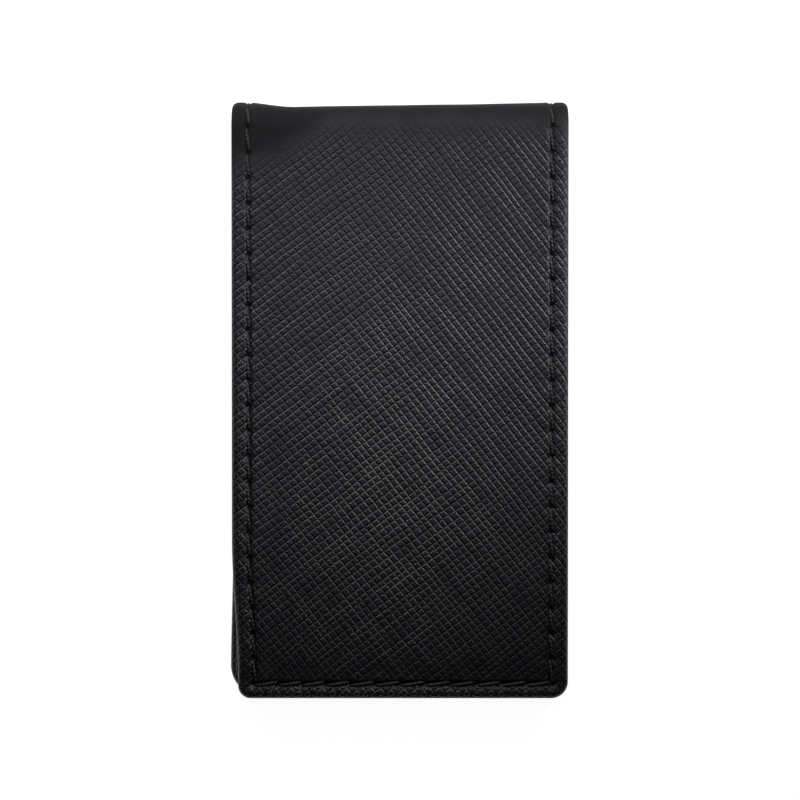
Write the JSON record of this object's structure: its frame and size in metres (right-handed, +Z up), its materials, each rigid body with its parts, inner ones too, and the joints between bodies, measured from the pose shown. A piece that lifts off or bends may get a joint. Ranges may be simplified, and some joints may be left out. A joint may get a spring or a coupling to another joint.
{
  "type": "money clip",
  "caption": "Folding magnetic money clip: two stitched grained-leather flaps joined by a rolled leather fold, lined, with disc magnets that hold folded notes.",
  "frame": {"origin": "under the middle of the closed clip, in the plane that the back flap lies on", "axes": "+X across the clip, +Y towards the fold, +Z up through the thickness to the front flap"},
  "size_m": [0.05, 0.089, 0.008],
  "materials": {
    "grained_leather": "cross-hatch embossed, semi-gloss black",
    "lining_leather": "smooth fine-grain black",
    "board": "grey-brown pressed fibreboard",
    "backing": "dark grey non-woven",
    "magnet": "nickel plated",
    "thread": "waxed black polyester"
  },
  "bodies": {
    "back_flap": {"back_face_leather": "grained_leather", "back_board": "board", "back_magnet_left": "magnet", "back_magnet_right": "magnet", "back_lining": "lining_leather", "back_needle_thread": "thread", "back_bobbin_thread": "thread"},
    "fold": {"fold_face_leather": "grained_leather", "fold_backing": "backing", "fold_lining": "lining_leather", "fold_needle_thread": "thread", "fold_bobbin_thread": "thread"},
    "front_flap": {"front_face_leather": "grained_leather", "front_board": "board", "front_magnet_left": "magnet", "front_magnet_right": "magnet", "front_lining": "lining_leather", "front_needle_thread": "thread", "front_bobbin_thread": "thread"}
  },
  "joints": [
    {"name": "back_crease", "type": "hinge", "parent": "back_flap", "child": "fold", "pos_m": [0, 0.04327, 0.00127], "axis": [-1, 0, 0], "range_deg": [0, 90.85], "deforming": ["fold_face_leather", "fold_backing", "fold_lining"]},
    {"name": "front_crease", "type": "hinge", "parent": "fold", "child": "front_flap", "pos_m": [0, 0.04319, 0.00681], "axis": [-1, 0, 0], "range_deg": [0, 90.85], "deforming": ["fold_needle_thread", "fold_bobbin_thread"]}
  ],
  "couplings": [
    {"joint": "front_crease", "follows": "back_crease", "ratio": 1}
  ]
}
